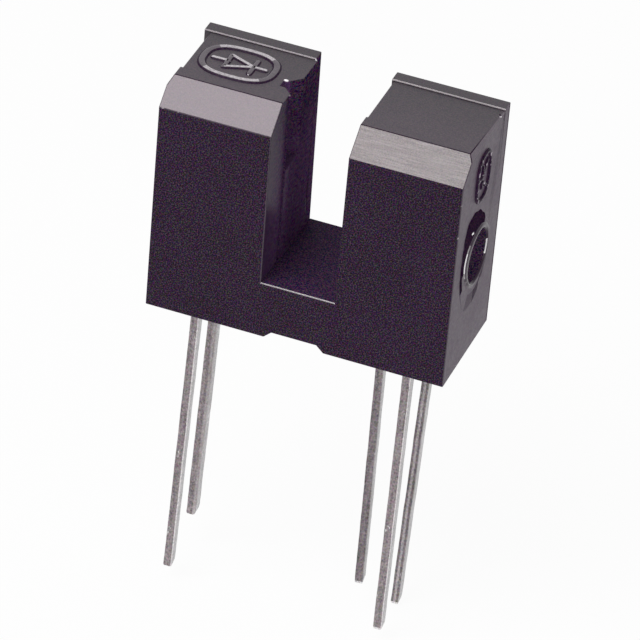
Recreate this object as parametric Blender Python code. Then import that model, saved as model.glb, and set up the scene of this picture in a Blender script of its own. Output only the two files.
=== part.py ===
# Slotted optical switch: a U-shaped moulded housing with an emitter package in the left arm and a
# detector package in the right arm. Each package is a lead frame, a chip and bond wires cast in resin.
# Frame: origin at the centre of the housing on the board's surface, +X to the detector arm,
# +Y to the back lip, +Z up. Lengths are in metres.

import math

import bmesh
import bpy
from mathutils import Vector

MM = 0.001

# Housing, outside
BODY_DEPTH = 5.0 * MM
LIP_THICKNESS = 0.58 * MM
LIP_ABOVE_ARMS = 0.07 * MM
SLOT_FLOOR = 2.43 * MM
SLOT_WIDTH_AT_FLOOR = 3.0 * MM
SLOT_WIDTH_AT_TOP = 3.1 * MM
LIP_NARROWER_AT_FLOOR = 0.16 * MM
LIP_NARROWER_AT_TOP = 0.04 * MM
FRONT_CHAMFER_RUN = 1.02 * MM
FRONT_CHAMFER_DROP = 0.93 * MM
TOP_BEVEL_SLOPE = 1.3
EMITTER_BEVEL_FRONT = 0.17 * MM
EMITTER_BEVEL_REAR = 0.30 * MM
DETECTOR_BEVEL_FRONT = 0.25 * MM
DETECTOR_BEVEL_REAR = 0.06 * MM
PARTING_FROM_FRONT = 1.63 * MM
PARTING_STEP = 0.07 * MM
RELIEF_HEIGHT = 0.28 * MM
RELIEF_FLAT = 1.84 * MM
RELIEF_RAMP = 0.30 * MM
EDGE_ROUND = 0.03 * MM

# Housing, walls around the two package cavities, which are open below
OUTER_WALL = 0.60 * MM
SLOT_WALL = 0.50 * MM
FRONT_WALL = 0.48 * MM
BACK_WALL = 0.48 * MM
ROOF = 1.03 * MM
CAVITY_CORNER = 0.15 * MM
MOUTH_FLARE = 0.12 * MM
MOUTH_FLARE_HEIGHT = 0.20 * MM

# Light apertures in the slot walls: wide at the slot, narrow at the package
OPTICAL_HEIGHT = 7.5 * MM
OPTICAL_FROM_MIDDLE = -0.17 * MM
APERTURE_MOUTH = 1.33 * MM
APERTURE_THROAT = 0.55 * MM
APERTURE_BELOW_AXIS = 0.95 * MM
APERTURE_ABOVE_AXIS = 1.05 * MM

# Heat stake in each outer wall: a punched pit with a raised rim, and a bump inside that the package
# stands on
STAKE_FROM_MIDDLE = 0.10 * MM
STAKE_BELOW_PACKAGE = 0.05 * MM
STAKE_PIT_RADIUS = 1.07 * MM
STAKE_PIT_DEPTH = 0.75 * MM
STAKE_RIM_RADIUS = 1.24 * MM
STAKE_FOOT_RADIUS = 1.72 * MM
STAKE_RIM_HEIGHT = 0.10 * MM
STAKE_FLOOR = 0.35 * MM
STAKE_BUMP_WALL = 0.28 * MM

# Resin packages
PACKAGE_CLEARANCE = 0.10 * MM
PACKAGE_HEIGHT = 2.90 * MM
PACKAGE_ABOVE_AXIS = 1.30 * MM
PACKAGE_THICKNESS = 2.50 * MM
PACKAGE_ROUND = 0.10 * MM
LENS_RADIUS = 1.00 * MM
LENS_RISE = 0.70 * MM
LENS_CLEARANCE = 0.15 * MM

# Lead frames
LEAD_FROM_OUTER_FACE = 1.00 * MM
LEAD_PITCH = 1.27 * MM
LEAD_WIDTH = 0.50 * MM
LEAD_THICKNESS = 0.30 * MM
LEAD_ROUND = 0.035 * MM
LEAD_POINT_LENGTH = 0.16 * MM
LEAD_POINT_NARROWING = 0.07 * MM
LEAD_BEND_TOP = 3.4 * MM
SHOULDER = 0.12 * MM
HEAD_HALF = 0.30 * MM
EMITTER_PAD = 0.90 * MM
DETECTOR_PAD = 1.50 * MM
BOND_HEAD_REACH = 0.30 * MM

# Each lead's shift towards -X in the board's surface, its length below that surface, and how far it
# leans towards -X for each unit of length
EMITTER_FRONT_SHIFT = 0.01 * MM
EMITTER_BACK_SHIFT = 0.08 * MM
DETECTOR_FRONT_SHIFT = 0.06 * MM
DETECTOR_MIDDLE_SHIFT = 1.575 * MM
DETECTOR_BACK_SHIFT = 0.025 * MM
EMITTER_FRONT_LENGTH = 12.98 * MM
EMITTER_BACK_LENGTH = 12.30 * MM
DETECTOR_FRONT_LENGTH = 13.01 * MM
DETECTOR_MIDDLE_LENGTH = 12.05 * MM
DETECTOR_BACK_LENGTH = 13.55 * MM
EMITTER_FRONT_LEAN = 0.033
EMITTER_BACK_LEAN = 0.033
DETECTOR_FRONT_LEAN = 0.0143
DETECTOR_MIDDLE_LEAN = 0.0012
DETECTOR_BACK_LEAN = 0.0318

# Chips and bond wires
EMITTER_DIE_SIDE = 0.36 * MM
EMITTER_DIE_THICKNESS = 0.20 * MM
DETECTOR_DIE_SIDE = 1.10 * MM
DETECTOR_DIE_THICKNESS = 0.26 * MM
DIE_BOND_GAP = 0.01 * MM
WIRE_RADIUS = 0.02 * MM
WIRE_LOOP = 0.22 * MM
WIRE_END_GAP = 0.02 * MM
CAST_GAP = 0.02 * MM
WIRE_BOND_INSET = 0.10 * MM
GROUND_BOND_BELOW_SHOULDER = 0.15 * MM

# How finely round shapes are cut
STAKE_SEGMENTS = 48
LENS_SEGMENTS = 32
LENS_RINGS = 7
WIRE_STEPS = 10
WIRE_SEGMENTS = 8
ROUND_SEGMENTS = 2
# How far a cutter runs past the surface that it opens
OVERRUN = 1.0 * MM

# Places that follow from the sizes above, from the slot outwards and from the optical axis upwards
FRONT_Y = -BODY_DEPTH / 2
BACK_Y = BODY_DEPTH / 2
LIP_Y = BACK_Y - LIP_THICKNESS
PARTING_Y = FRONT_Y + PARTING_FROM_FRONT
CAVITY_FRONT = FRONT_Y + FRONT_WALL
CAVITY_BACK = BACK_Y - BACK_WALL
SLOT_FACE = max(SLOT_WIDTH_AT_FLOOR, SLOT_WIDTH_AT_TOP) / 2
CAVITY_INNER = SLOT_FACE + SLOT_WALL
PACKAGE_INNER = CAVITY_INNER + LENS_CLEARANCE + LENS_RISE
PACKAGE_OUTER = PACKAGE_INNER + PACKAGE_THICKNESS
CAVITY_OUTER = PACKAGE_OUTER + PACKAGE_CLEARANCE
HALF_WIDTH = CAVITY_OUTER + OUTER_WALL
PACKAGE_TOP = OPTICAL_HEIGHT + PACKAGE_ABOVE_AXIS
PACKAGE_BOTTOM = PACKAGE_TOP - PACKAGE_HEIGHT
CAVITY_TOP = PACKAGE_TOP + PACKAGE_CLEARANCE
ARM_TOP = CAVITY_TOP + ROOF
LIP_TOP = ARM_TOP + LIP_ABOVE_ARMS
STAKE_HEIGHT = PACKAGE_BOTTOM - STAKE_BELOW_PACKAGE - STAKE_PIT_RADIUS - STAKE_BUMP_WALL
LEAD_X = PACKAGE_OUTER - LEAD_FROM_OUTER_FACE
EMITTER_SIDE = -1
DETECTOR_SIDE = 1


def clear_scene():
    for item in list(bpy.data.objects):
        bpy.data.objects.remove(item, do_unlink=True)


def material(name, colour, roughness, metallic=0.0):
    made = bpy.data.materials.new(name)
    made.use_nodes = True
    shader = made.node_tree.nodes["Principled BSDF"]
    shader.inputs["Base Color"].default_value = (*colour, 1.0)
    shader.inputs["Roughness"].default_value = roughness
    shader.inputs["Metallic"].default_value = metallic
    return made


def object_from(bm, name, finish=None):
    bmesh.ops.recalc_face_normals(bm, faces=bm.faces)
    mesh = bpy.data.meshes.new(name)
    bm.to_mesh(mesh)
    bm.free()
    made = bpy.data.objects.new(name, mesh)
    bpy.context.scene.collection.objects.link(made)
    if finish:
        mesh.materials.append(finish)
    return made


def as_tool(item):
    """Marks a shape that only adds to or cuts another one."""
    item.hide_render = True
    item.display_type = "WIRE"
    return item


def combine(item, tool, operation):
    change = item.modifiers.new(tool.name, "BOOLEAN")
    change.operation = operation
    change.solver = "EXACT"
    change.object = as_tool(tool)


def evaluated_bmesh(item):
    """The object's mesh with its modifiers applied."""
    graph = bpy.context.evaluated_depsgraph_get()
    bm = bmesh.new()
    bm.from_object(item, graph)
    return bm


def round_edges(item, width, angle_deg=30.0):
    change = item.modifiers.new("rounded_edges", "BEVEL")
    change.width = width
    change.segments = ROUND_SEGMENTS
    change.limit_method = "ANGLE"
    change.angle_limit = math.radians(angle_deg)
    change.miter_outer = "MITER_SHARP"


def smooth(item, angle_deg=35.0):
    item.data.shade_smooth()
    item.data.set_sharp_from_angle(angle=math.radians(angle_deg))


def prism(name, outline, start, direction):
    """A closed outline of 3D points, moved from start and extruded along direction."""
    bm = bmesh.new()
    ring = [bm.verts.new(Vector(point) + Vector(start)) for point in outline]
    face = bm.faces.new(ring)
    grown = bmesh.ops.extrude_face_region(bm, geom=[face])
    moved = [part for part in grown["geom"] if isinstance(part, bmesh.types.BMVert)]
    bmesh.ops.translate(bm, verts=moved, vec=Vector(direction))
    return object_from(bm, name)


def between(name, near, far):
    """A solid between two rings of points, each of which closes one of its ends."""
    bm = bmesh.new()
    one = [bm.verts.new(point) for point in near]
    two = [bm.verts.new(point) for point in far]
    for k in range(len(one)):
        following = (k + 1) % len(one)
        bm.faces.new([one[k], one[following], two[following], two[k]])
    bm.faces.new(one)
    bm.faces.new(two)
    return object_from(bm, name)


def block(name, low, high, finish=None):
    bm = bmesh.new()
    bmesh.ops.create_cube(bm, size=1.0)
    size = Vector(high) - Vector(low)
    middle = (Vector(high) + Vector(low)) / 2
    bmesh.ops.scale(bm, vec=size, verts=bm.verts)
    bmesh.ops.translate(bm, vec=middle, verts=bm.verts)
    return object_from(bm, name, finish)


def turned(name, profile, centre, side, segments):
    """A profile of (radius, reach) pairs turned about an X axis. Reach runs outwards on the given side."""
    bm = bmesh.new()
    rings = []
    for radius, reach in profile:
        x = centre[0] + side * reach
        if radius == 0:
            rings.append([bm.verts.new((x, centre[1], centre[2]))])
            continue
        turn = [2 * math.pi * k / segments for k in range(segments)]
        rings.append([
            bm.verts.new((x, centre[1] + radius * math.cos(a), centre[2] + radius * math.sin(a)))
            for a in turn
        ])
    for near, far in zip(rings, rings[1:]):
        for k in range(segments):
            following = (k + 1) % segments
            corners = [near[k % len(near)], near[following % len(near)]]
            corners += [far[following % len(far)], far[k % len(far)]]
            bm.faces.new(list(dict.fromkeys(corners)))
    return object_from(bm, name)


def u_outline(top, slot_floor_left, slot_floor_right, slot_top_left, slot_top_right):
    """The housing seen from the front, as (x, z) pairs that run clockwise from the lower left."""
    foot = RELIEF_FLAT / 2 + RELIEF_RAMP
    relief = [(foot, 0), (RELIEF_FLAT / 2, RELIEF_HEIGHT), (-RELIEF_FLAT / 2, RELIEF_HEIGHT), (-foot, 0)]
    slot = [(slot_top_left, top), (slot_floor_left, SLOT_FLOOR)]
    slot += [(slot_floor_right, SLOT_FLOOR), (slot_top_right, top)]
    left = [(-HALF_WIDTH, 0), (-HALF_WIDTH, top)]
    return left + slot + [(HALF_WIDTH, top), (HALF_WIDTH, 0)] + relief


def u_slice(name, outline, start_y, end_y):
    near = [(x, start_y, z) for x, z in outline]
    far = [(x, end_y, z) for x, z in outline]
    return between(name, near, far)


def shell_slices():
    """The outer form in three slices: front of the parting line, behind it, and the back lip."""
    floor = SLOT_WIDTH_AT_FLOOR / 2
    top = SLOT_WIDTH_AT_TOP / 2
    step = PARTING_STEP
    lip_floor = floor - LIP_NARROWER_AT_FLOOR / 2
    lip_top = top - LIP_NARROWER_AT_TOP / 2
    front = u_outline(ARM_TOP, -floor, floor, -top, top)
    rear = u_outline(ARM_TOP, step - floor, step + floor, step - top, step + top)
    lip = u_outline(LIP_TOP, -lip_floor, lip_floor, -lip_top, lip_top)
    whole = u_slice("shell_front", front, FRONT_Y, PARTING_Y)
    combine(whole, u_slice("shell_rear", rear, PARTING_Y, LIP_Y), "UNION")
    combine(whole, u_slice("shell_lip", lip, LIP_Y, BACK_Y), "UNION")
    return whole


def top_bevel(side, start_y, end_y, start_across, end_across):
    """A cutter for the bevel along an arm's outer top edge, whose width may taper."""
    along = Vector((side, 0, -TOP_BEVEL_SLOPE)).normalized() * OVERRUN
    rings = []
    for y, across in ((start_y, start_across), (end_y, end_across)):
        upper = Vector((side * (HALF_WIDTH - across), y, ARM_TOP)) - along
        lower = Vector((side * HALF_WIDTH, y, ARM_TOP - across * TOP_BEVEL_SLOPE)) + along
        rings.append([upper, lower, Vector((lower.x, y, upper.z))])
    return between("top_bevel_cutter", *rings)


def front_chamfer():
    """A wedge across both arms that cuts the sloping face at the front of their tops."""
    slope = FRONT_CHAMFER_DROP / FRONT_CHAMFER_RUN
    low = Vector((0, FRONT_Y - OVERRUN, ARM_TOP - FRONT_CHAMFER_DROP - slope * OVERRUN))
    high = Vector((0, FRONT_Y + FRONT_CHAMFER_RUN + OVERRUN, ARM_TOP + slope * OVERRUN))
    corner = Vector((0, low.y, high.z))
    across = 2 * (HALF_WIDTH + OVERRUN)
    return prism("front_chamfer", [low, corner, high], (-across / 2, 0, 0), (across, 0, 0))


def rounded_shell(finish):
    """The outer form as one mesh with its outward edges rounded."""
    whole = shell_slices()
    combine(whole, front_chamfer(), "DIFFERENCE")
    left = EMITTER_SIDE
    right = DETECTOR_SIDE
    front = FRONT_Y - OVERRUN
    bevels = [
        top_bevel(left, front, PARTING_Y, EMITTER_BEVEL_FRONT, EMITTER_BEVEL_FRONT),
        top_bevel(left, PARTING_Y, LIP_Y, EMITTER_BEVEL_REAR, EMITTER_BEVEL_REAR),
        top_bevel(right, front, LIP_Y, DETECTOR_BEVEL_FRONT, DETECTOR_BEVEL_REAR),
    ]
    for cutter in bevels:
        combine(whole, cutter, "DIFFERENCE")
    bm = evaluated_bmesh(as_tool(whole))
    bmesh.ops.remove_doubles(bm, verts=bm.verts, dist=1e-8)
    bmesh.ops.dissolve_limit(
        bm, angle_limit=math.radians(0.5), use_dissolve_boundaries=False, verts=bm.verts, edges=bm.edges
    )
    bm.normal_update()
    crisp = math.radians(20)
    outward = [e for e in bm.edges if e.is_manifold and e.is_convex and e.calc_face_angle() > crisp]
    bmesh.ops.bevel(
        bm, geom=outward, offset=EDGE_ROUND, offset_type="OFFSET", segments=ROUND_SEGMENTS, profile=0.5,
        affect="EDGES", clamp_overlap=True,
    )
    return object_from(bm, "housing", finish)


def cavity(side):
    """The space for one package, flared at its mouth so that the package slides in from below."""
    ranges = [(CAVITY_INNER, CAVITY_OUTER), (CAVITY_FRONT, CAVITY_BACK)]
    levels = [(-OVERRUN, MOUTH_FLARE), (0.0, MOUTH_FLARE), (MOUTH_FLARE_HEIGHT, 0.0), (CAVITY_TOP, 0.0)]
    bm = bmesh.new()
    rings = []
    for z, flare in levels:
        (x0, x1), (y0, y1) = [(low - flare, high + flare) for low, high in ranges]
        corners = [(x0, y0), (x1, y0), (x1, y1), (x0, y1)]
        rings.append([bm.verts.new((side * x, y, z)) for x, y in corners])
    for low, high in zip(rings, rings[1:]):
        for k in range(4):
            bm.faces.new([low[k], low[(k + 1) % 4], high[(k + 1) % 4], high[k]])
    bm.faces.new(rings[0])
    bm.faces.new(rings[-1])
    upright = [e for e in bm.edges if abs(e.verts[0].co.z - e.verts[1].co.z) > EDGE_ROUND]
    bmesh.ops.bevel(bm, geom=upright, offset=CAVITY_CORNER, segments=2, profile=0.5, affect="EDGES")
    return object_from(bm, "cavity_cutter")


def aperture(side, bottom, top):
    """A slit through the slot wall that narrows from the slot to the package."""
    wide, narrow = APERTURE_MOUTH / 2, APERTURE_THROAT / 2
    wall_face = SLOT_FACE
    depth = SLOT_WALL + PACKAGE_CLEARANCE / 2
    slope = (wide - narrow) / depth
    ahead = SLOT_WIDTH_AT_FLOOR / 4
    middle = OPTICAL_FROM_MIDDLE
    outline = [
        (side * (wall_face - ahead), middle - wide - slope * ahead, 0),
        (side * (wall_face + depth), middle - narrow, 0),
        (side * (wall_face + depth), middle + narrow, 0),
        (side * (wall_face - ahead), middle + wide + slope * ahead, 0),
    ]
    return prism("aperture_cutter", outline, (0, 0, bottom), (0, 0, top - bottom))


def stake_rim(side):
    """The plastic that the hot punch raised around its pit."""
    inside = OUTER_WALL / 2
    profile = [(0, -inside), (STAKE_FOOT_RADIUS, -inside), (STAKE_FOOT_RADIUS, 0)]
    steps = 6
    for k in range(1, steps + 1):
        share = k / steps
        radius = STAKE_FOOT_RADIUS + (STAKE_RIM_RADIUS - STAKE_FOOT_RADIUS) * share
        rise = STAKE_RIM_HEIGHT * (1 - math.cos(math.pi * share)) / 2
        profile.append((radius, rise))
    profile.append((STAKE_PIT_RADIUS, STAKE_RIM_HEIGHT / 2))
    profile.append((0, STAKE_RIM_HEIGHT / 2))
    centre = (side * HALF_WIDTH, STAKE_FROM_MIDDLE, STAKE_HEIGHT)
    return turned("stake_rim", profile, centre, side, STAKE_SEGMENTS)


def stake_bump(side):
    """The wall pushed inwards by the punch, which keeps the package from sliding down."""
    reach = STAKE_PIT_DEPTH + STAKE_FLOOR
    outer = STAKE_PIT_RADIUS + STAKE_BUMP_WALL
    start = OUTER_WALL / 2
    profile = [(0, -start), (outer, -start), (outer, -OUTER_WALL)]
    steps = 4
    for k in range(1, steps + 1):
        turn = math.pi / 2 * k / steps
        drop = reach - OUTER_WALL
        profile.append((outer - (1 - math.cos(turn)) * STAKE_BUMP_WALL, -OUTER_WALL - drop * math.sin(turn)))
    profile.append((0, -reach))
    centre = (side * HALF_WIDTH, STAKE_FROM_MIDDLE, STAKE_HEIGHT)
    return turned("stake_bump", profile, centre, side, STAKE_SEGMENTS)


def stake_pit(side):
    """The pit itself, with a rounded floor."""
    profile = [(0, OVERRUN), (STAKE_PIT_RADIUS, OVERRUN), (STAKE_PIT_RADIUS, -STAKE_PIT_DEPTH * 0.6)]
    steps = 4
    corner = STAKE_PIT_DEPTH * 0.4
    for k in range(1, steps + 1):
        turn = math.pi / 2 * k / steps
        radius = STAKE_PIT_RADIUS - corner * (1 - math.cos(turn))
        profile.append((radius, -STAKE_PIT_DEPTH + corner * (1 - math.sin(turn))))
    profile.append((0, -STAKE_PIT_DEPTH))
    centre = (side * HALF_WIDTH, STAKE_FROM_MIDDLE, STAKE_HEIGHT)
    return turned("stake_pit", profile, centre, side, STAKE_SEGMENTS)


def housing(finish):
    made = rounded_shell(finish)
    for side in (EMITTER_SIDE, DETECTOR_SIDE):
        combine(made, stake_rim(side), "UNION")
        combine(made, cavity(side), "DIFFERENCE")
        combine(made, stake_bump(side), "UNION")
        combine(made, stake_pit(side), "DIFFERENCE")
    bottom = OPTICAL_HEIGHT - APERTURE_BELOW_AXIS
    combine(made, aperture(EMITTER_SIDE, bottom, LIP_TOP + OVERRUN), "DIFFERENCE")
    combine(made, aperture(DETECTOR_SIDE, bottom, OPTICAL_HEIGHT + APERTURE_ABOVE_AXIS), "DIFFERENCE")
    smooth(made)
    return made


def lead_sections(path, thickness):
    """The two corner points of the strip's thickness at each point of its path in the XZ plane."""
    sections = []
    for k, (x, z) in enumerate(path):
        here = Vector((x, z))
        before = (here - Vector(path[k - 1])).normalized() if k else None
        after = (Vector(path[k + 1]) - here).normalized() if k + 1 < len(path) else None
        first, second = before or after, after or before
        normals = [Vector((d.y, -d.x)) for d in (first, second)]
        middle = (normals[0] + normals[1]).normalized()
        reach = thickness / 2 / middle.dot(normals[0])
        sections.append((here + middle * reach, here - middle * reach))
    return sections


def strip(name, rows, grow, finish=None):
    """A stamped lead as rows of (x, z, low y, high y) from tip to head, grown on all sides for a cutter."""
    path = [(x, z) for x, z, low, high in rows]
    path[0] = (path[0][0], path[0][1] - grow)
    path[-1] = (path[-1][0], path[-1][1] + grow)
    bm = bmesh.new()
    rings = []
    sections = lead_sections(path, LEAD_THICKNESS + grow + grow)
    for (one, two), (_, _, low, high) in zip(sections, rows):
        corners = [(one, low - grow), (one, high + grow), (two, high + grow), (two, low - grow)]
        rings.append([bm.verts.new((point.x, y, point.y)) for point, y in corners])
    for near, far in zip(rings, rings[1:]):
        for k in range(4):
            bm.faces.new([near[k], near[(k + 1) % 4], far[(k + 1) % 4], far[k]])
    bm.faces.new(rings[0])
    bm.faces.new(rings[-1])
    return object_from(bm, name, finish)


def shank_rows(x, y, length, lean):
    """The lead from its slightly narrowed tip to the board's surface at x, y."""
    low = y - LEAD_WIDTH / 2
    high = y + LEAD_WIDTH / 2
    straight = length - LEAD_POINT_LENGTH
    return [
        (x - lean * length, -length, low + LEAD_POINT_NARROWING, high - LEAD_POINT_NARROWING),
        (x - lean * straight, -straight, low, high),
        (x, 0.0, low, high),
    ]


def head_rows(side, y, bottom, top, head_low, head_high):
    """The lead above its bend: the straight run in the lead frame's plane, a shoulder and the head."""
    x = side * LEAD_X
    low = y - LEAD_WIDTH / 2
    high = y + LEAD_WIDTH / 2
    return [
        (x, LEAD_BEND_TOP, low, high),
        (x, bottom - SHOULDER, low, high),
        (x, bottom, head_low, head_high),
        (x, top, head_low, head_high),
    ]


def emitter_leads():
    """Front lead with the chip's pad, back lead with a head for the bond wire."""
    x = EMITTER_SIDE * LEAD_X
    front = shank_rows(x - EMITTER_FRONT_SHIFT, -LEAD_PITCH, EMITTER_FRONT_LENGTH, EMITTER_FRONT_LEAN)
    back = shank_rows(x - EMITTER_BACK_SHIFT, LEAD_PITCH, EMITTER_BACK_LENGTH, EMITTER_BACK_LEAN)
    half = LEAD_WIDTH / 2
    pad = EMITTER_PAD / 2
    front += head_rows(
        EMITTER_SIDE, -LEAD_PITCH, OPTICAL_HEIGHT - pad, OPTICAL_HEIGHT + pad,
        -LEAD_PITCH - half, OPTICAL_FROM_MIDDLE + pad
    )
    back += head_rows(
        EMITTER_SIDE, LEAD_PITCH, OPTICAL_HEIGHT - HEAD_HALF, OPTICAL_HEIGHT + HEAD_HALF,
        LEAD_PITCH - half - BOND_HEAD_REACH, LEAD_PITCH + half
    )
    return {"emitter_cathode_lead": front, "emitter_anode_lead": back}


def middle_lead_rows():
    """The detector's middle lead: its pad carries the chip, and its shank steps towards the slot."""
    x = LEAD_X - DETECTOR_MIDDLE_SHIFT
    rows = shank_rows(x, 0.0, DETECTOR_MIDDLE_LENGTH, DETECTOR_MIDDLE_LEAN)
    rows.append((x, LEAD_BEND_TOP - DETECTOR_MIDDLE_SHIFT, -LEAD_WIDTH / 2, LEAD_WIDTH / 2))
    pad = DETECTOR_PAD / 2
    return rows + head_rows(
        DETECTOR_SIDE, 0.0, OPTICAL_HEIGHT - pad, OPTICAL_HEIGHT + pad,
        OPTICAL_FROM_MIDDLE - pad, OPTICAL_FROM_MIDDLE + pad
    )


def detector_leads():
    """Front and back leads with small heads for their wires, and the middle lead between them."""
    front = shank_rows(
        LEAD_X - DETECTOR_FRONT_SHIFT, -LEAD_PITCH, DETECTOR_FRONT_LENGTH, DETECTOR_FRONT_LEAN
    )
    back = shank_rows(LEAD_X - DETECTOR_BACK_SHIFT, LEAD_PITCH, DETECTOR_BACK_LENGTH, DETECTOR_BACK_LEAN)
    near = LEAD_PITCH - LEAD_WIDTH / 2
    far = LEAD_PITCH + LEAD_WIDTH / 2 + SHOULDER
    bottom = OPTICAL_HEIGHT - HEAD_HALF
    top = OPTICAL_HEIGHT + HEAD_HALF
    front += head_rows(DETECTOR_SIDE, -LEAD_PITCH, bottom, top, -far, -near)
    back += head_rows(DETECTOR_SIDE, LEAD_PITCH, bottom, top, near, far)
    return {
        "detector_supply_lead": front,
        "detector_ground_lead": middle_lead_rows(),
        "detector_output_lead": back,
    }


def die_box(side, edge, thickness, grow):
    """Low and high corners of a chip on the slot side of its pad."""
    near = LEAD_X - LEAD_THICKNESS / 2 - DIE_BOND_GAP
    far = near - thickness
    xs = sorted((side * (near + grow), side * (far - grow)))
    reach = edge / 2 + grow
    low = (xs[0], OPTICAL_FROM_MIDDLE - reach, OPTICAL_HEIGHT - reach)
    high = (xs[1], OPTICAL_FROM_MIDDLE + reach, OPTICAL_HEIGHT + reach)
    return low, high


def wire_points(side, die_thickness, start, end):
    """A low arch from a chip's face to a lead's face; start and end are (y, height above the axis)."""
    pad_face = LEAD_X - LEAD_THICKNESS / 2
    die_face = pad_face - DIE_BOND_GAP - die_thickness
    points = []
    for k in range(WIRE_STEPS + 1):
        share = k / WIRE_STEPS
        base = die_face + (pad_face - die_face) * share - WIRE_END_GAP
        x = base - WIRE_LOOP * 4 * share * (1 - share)
        y = start[0] + (end[0] - start[0]) * share
        z = OPTICAL_HEIGHT + start[1] + (end[1] - start[1]) * share
        points.append((side * x, y, z))
    return points


def wire(name, points, radius, finish=None):
    """A round wire along points that lie close to one line, with flat ends."""
    path = [Vector(point) for point in points]
    bm = bmesh.new()
    rings = []
    for k, here in enumerate(path):
        along = (path[min(k + 1, len(path) - 1)] - path[max(k - 1, 0)]).normalized()
        across = along.cross(Vector((1, 0, 0))).normalized()
        other = along.cross(across)
        turn = [2 * math.pi * n / WIRE_SEGMENTS for n in range(WIRE_SEGMENTS)]
        spots = [here + across * radius * math.cos(a) + other * radius * math.sin(a) for a in turn]
        rings.append([bm.verts.new(spot) for spot in spots])
    for near, far in zip(rings, rings[1:]):
        for k in range(WIRE_SEGMENTS):
            following = (k + 1) % WIRE_SEGMENTS
            bm.faces.new([near[k], near[following], far[following], far[k]])
    bm.faces.new(rings[0])
    bm.faces.new(rings[-1])
    return object_from(bm, name, finish)


def wire_cutter(name, points):
    """The tunnel that a bond wire leaves in the resin, a little longer than the wire at both ends."""
    first, second = Vector(points[0]), Vector(points[1])
    last, before = Vector(points[-1]), Vector(points[-2])
    start = first + (first - second).normalized() * 2 * WIRE_END_GAP
    end = last + (last - before).normalized() * 2 * WIRE_END_GAP
    return wire(name, [start] + points[1:-1] + [end], WIRE_RADIUS + CAST_GAP)


def emitter_wires():
    start = (OPTICAL_FROM_MIDDLE, 0)
    end = (LEAD_PITCH - LEAD_WIDTH / 2 - BOND_HEAD_REACH + WIRE_BOND_INSET, 0)
    return {"emitter_bond_wire": wire_points(EMITTER_SIDE, EMITTER_DIE_THICKNESS, start, end)}


def detector_wires():
    reach = DETECTOR_DIE_SIDE / 2 - WIRE_BOND_INSET
    middle = OPTICAL_FROM_MIDDLE
    shank = DETECTOR_PAD / 2 + SHOULDER + GROUND_BOND_BELOW_SHOULDER
    ends = {
        "detector_supply_wire": ((middle - reach, reach / 2), (-LEAD_PITCH, 0)),
        "detector_output_wire": ((middle + reach, reach / 2), (LEAD_PITCH, 0)),
        "detector_ground_wire": ((middle, -reach), (0, -shank)),
    }
    return {
        name: wire_points(DETECTOR_SIDE, DETECTOR_DIE_THICKNESS, start, end)
        for name, (start, end) in ends.items()
    }


def resin_body(name, side, finish):
    """A rounded block with a lens that faces the slot through the aperture."""
    xs = sorted((side * PACKAGE_INNER, side * PACKAGE_OUTER))
    low = (xs[0], CAVITY_FRONT + PACKAGE_CLEARANCE, PACKAGE_BOTTOM)
    high = (xs[1], CAVITY_BACK - PACKAGE_CLEARANCE, PACKAGE_TOP)
    body = block(name, low, high, finish)
    round_edges(body, PACKAGE_ROUND)
    combine(body, lens(side), "UNION")
    return body


def lens(side):
    """A dome on the package's face towards the slot."""
    rise = LENS_RISE
    ball = (LENS_RADIUS ** 2 + rise ** 2) / (2 * rise)
    spread = math.acos((ball - rise) / ball)
    profile = [(0, PACKAGE_THICKNESS / 4), (LENS_RADIUS, PACKAGE_THICKNESS / 4)]
    for k in range(LENS_RINGS):
        turn = spread * (1 - k / LENS_RINGS)
        profile.append((ball * math.sin(turn), ball - rise - ball * math.cos(turn)))
    profile.append((0, -rise))
    centre = (side * PACKAGE_INNER, OPTICAL_FROM_MIDDLE, OPTICAL_HEIGHT)
    return turned("lens", profile, centre, side, LENS_SEGMENTS)


def package(name, side, leads, die, wires, finishes):
    """One resin package with its lead frame, chip and wires, and the hollow that they leave in it."""
    body = resin_body(name + "_resin", side, finishes["resin"])
    for lead_name, rows in leads.items():
        made = strip(lead_name, rows, 0.0, finishes["lead"])
        round_edges(made, LEAD_ROUND)
        smooth(made)
        combine(body, strip(lead_name + "_cutter", rows, CAST_GAP), "DIFFERENCE")
    edge, thickness = die
    block(name + "_die", *die_box(side, edge, thickness, 0.0), finishes["die"])
    combine(body, block(name + "_die_cutter", *die_box(side, edge, thickness, CAST_GAP)), "DIFFERENCE")
    for wire_name, points in wires.items():
        smooth(wire(wire_name, points, WIRE_RADIUS, finishes["wire"]))
        combine(body, wire_cutter(wire_name + "_cutter", points), "DIFFERENCE")
    smooth(body)


def build():
    clear_scene()
    plastic = material("housing_plastic", (0.022, 0.018, 0.022), 0.42)
    tin = material("tinned_lead", (0.62, 0.60, 0.61), 0.34, 1.0)
    gold = material("bond_gold", (0.85, 0.62, 0.25), 0.25, 1.0)
    silicon = material("chip", (0.16, 0.16, 0.20), 0.25, 0.4)
    resin = material("filter_resin", (0.030, 0.012, 0.022), 0.12)
    finishes = {"lead": tin, "wire": gold, "die": silicon, "resin": resin}
    housing(plastic)
    emitter_die = (EMITTER_DIE_SIDE, EMITTER_DIE_THICKNESS)
    detector_die = (DETECTOR_DIE_SIDE, DETECTOR_DIE_THICKNESS)
    package("emitter", EMITTER_SIDE, emitter_leads(), emitter_die, emitter_wires(), finishes)
    package("detector", DETECTOR_SIDE, detector_leads(), detector_die, detector_wires(), finishes)


build()
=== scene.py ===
import math

import bmesh
import bpy
from mathutils import Matrix, Vector, noise


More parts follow.
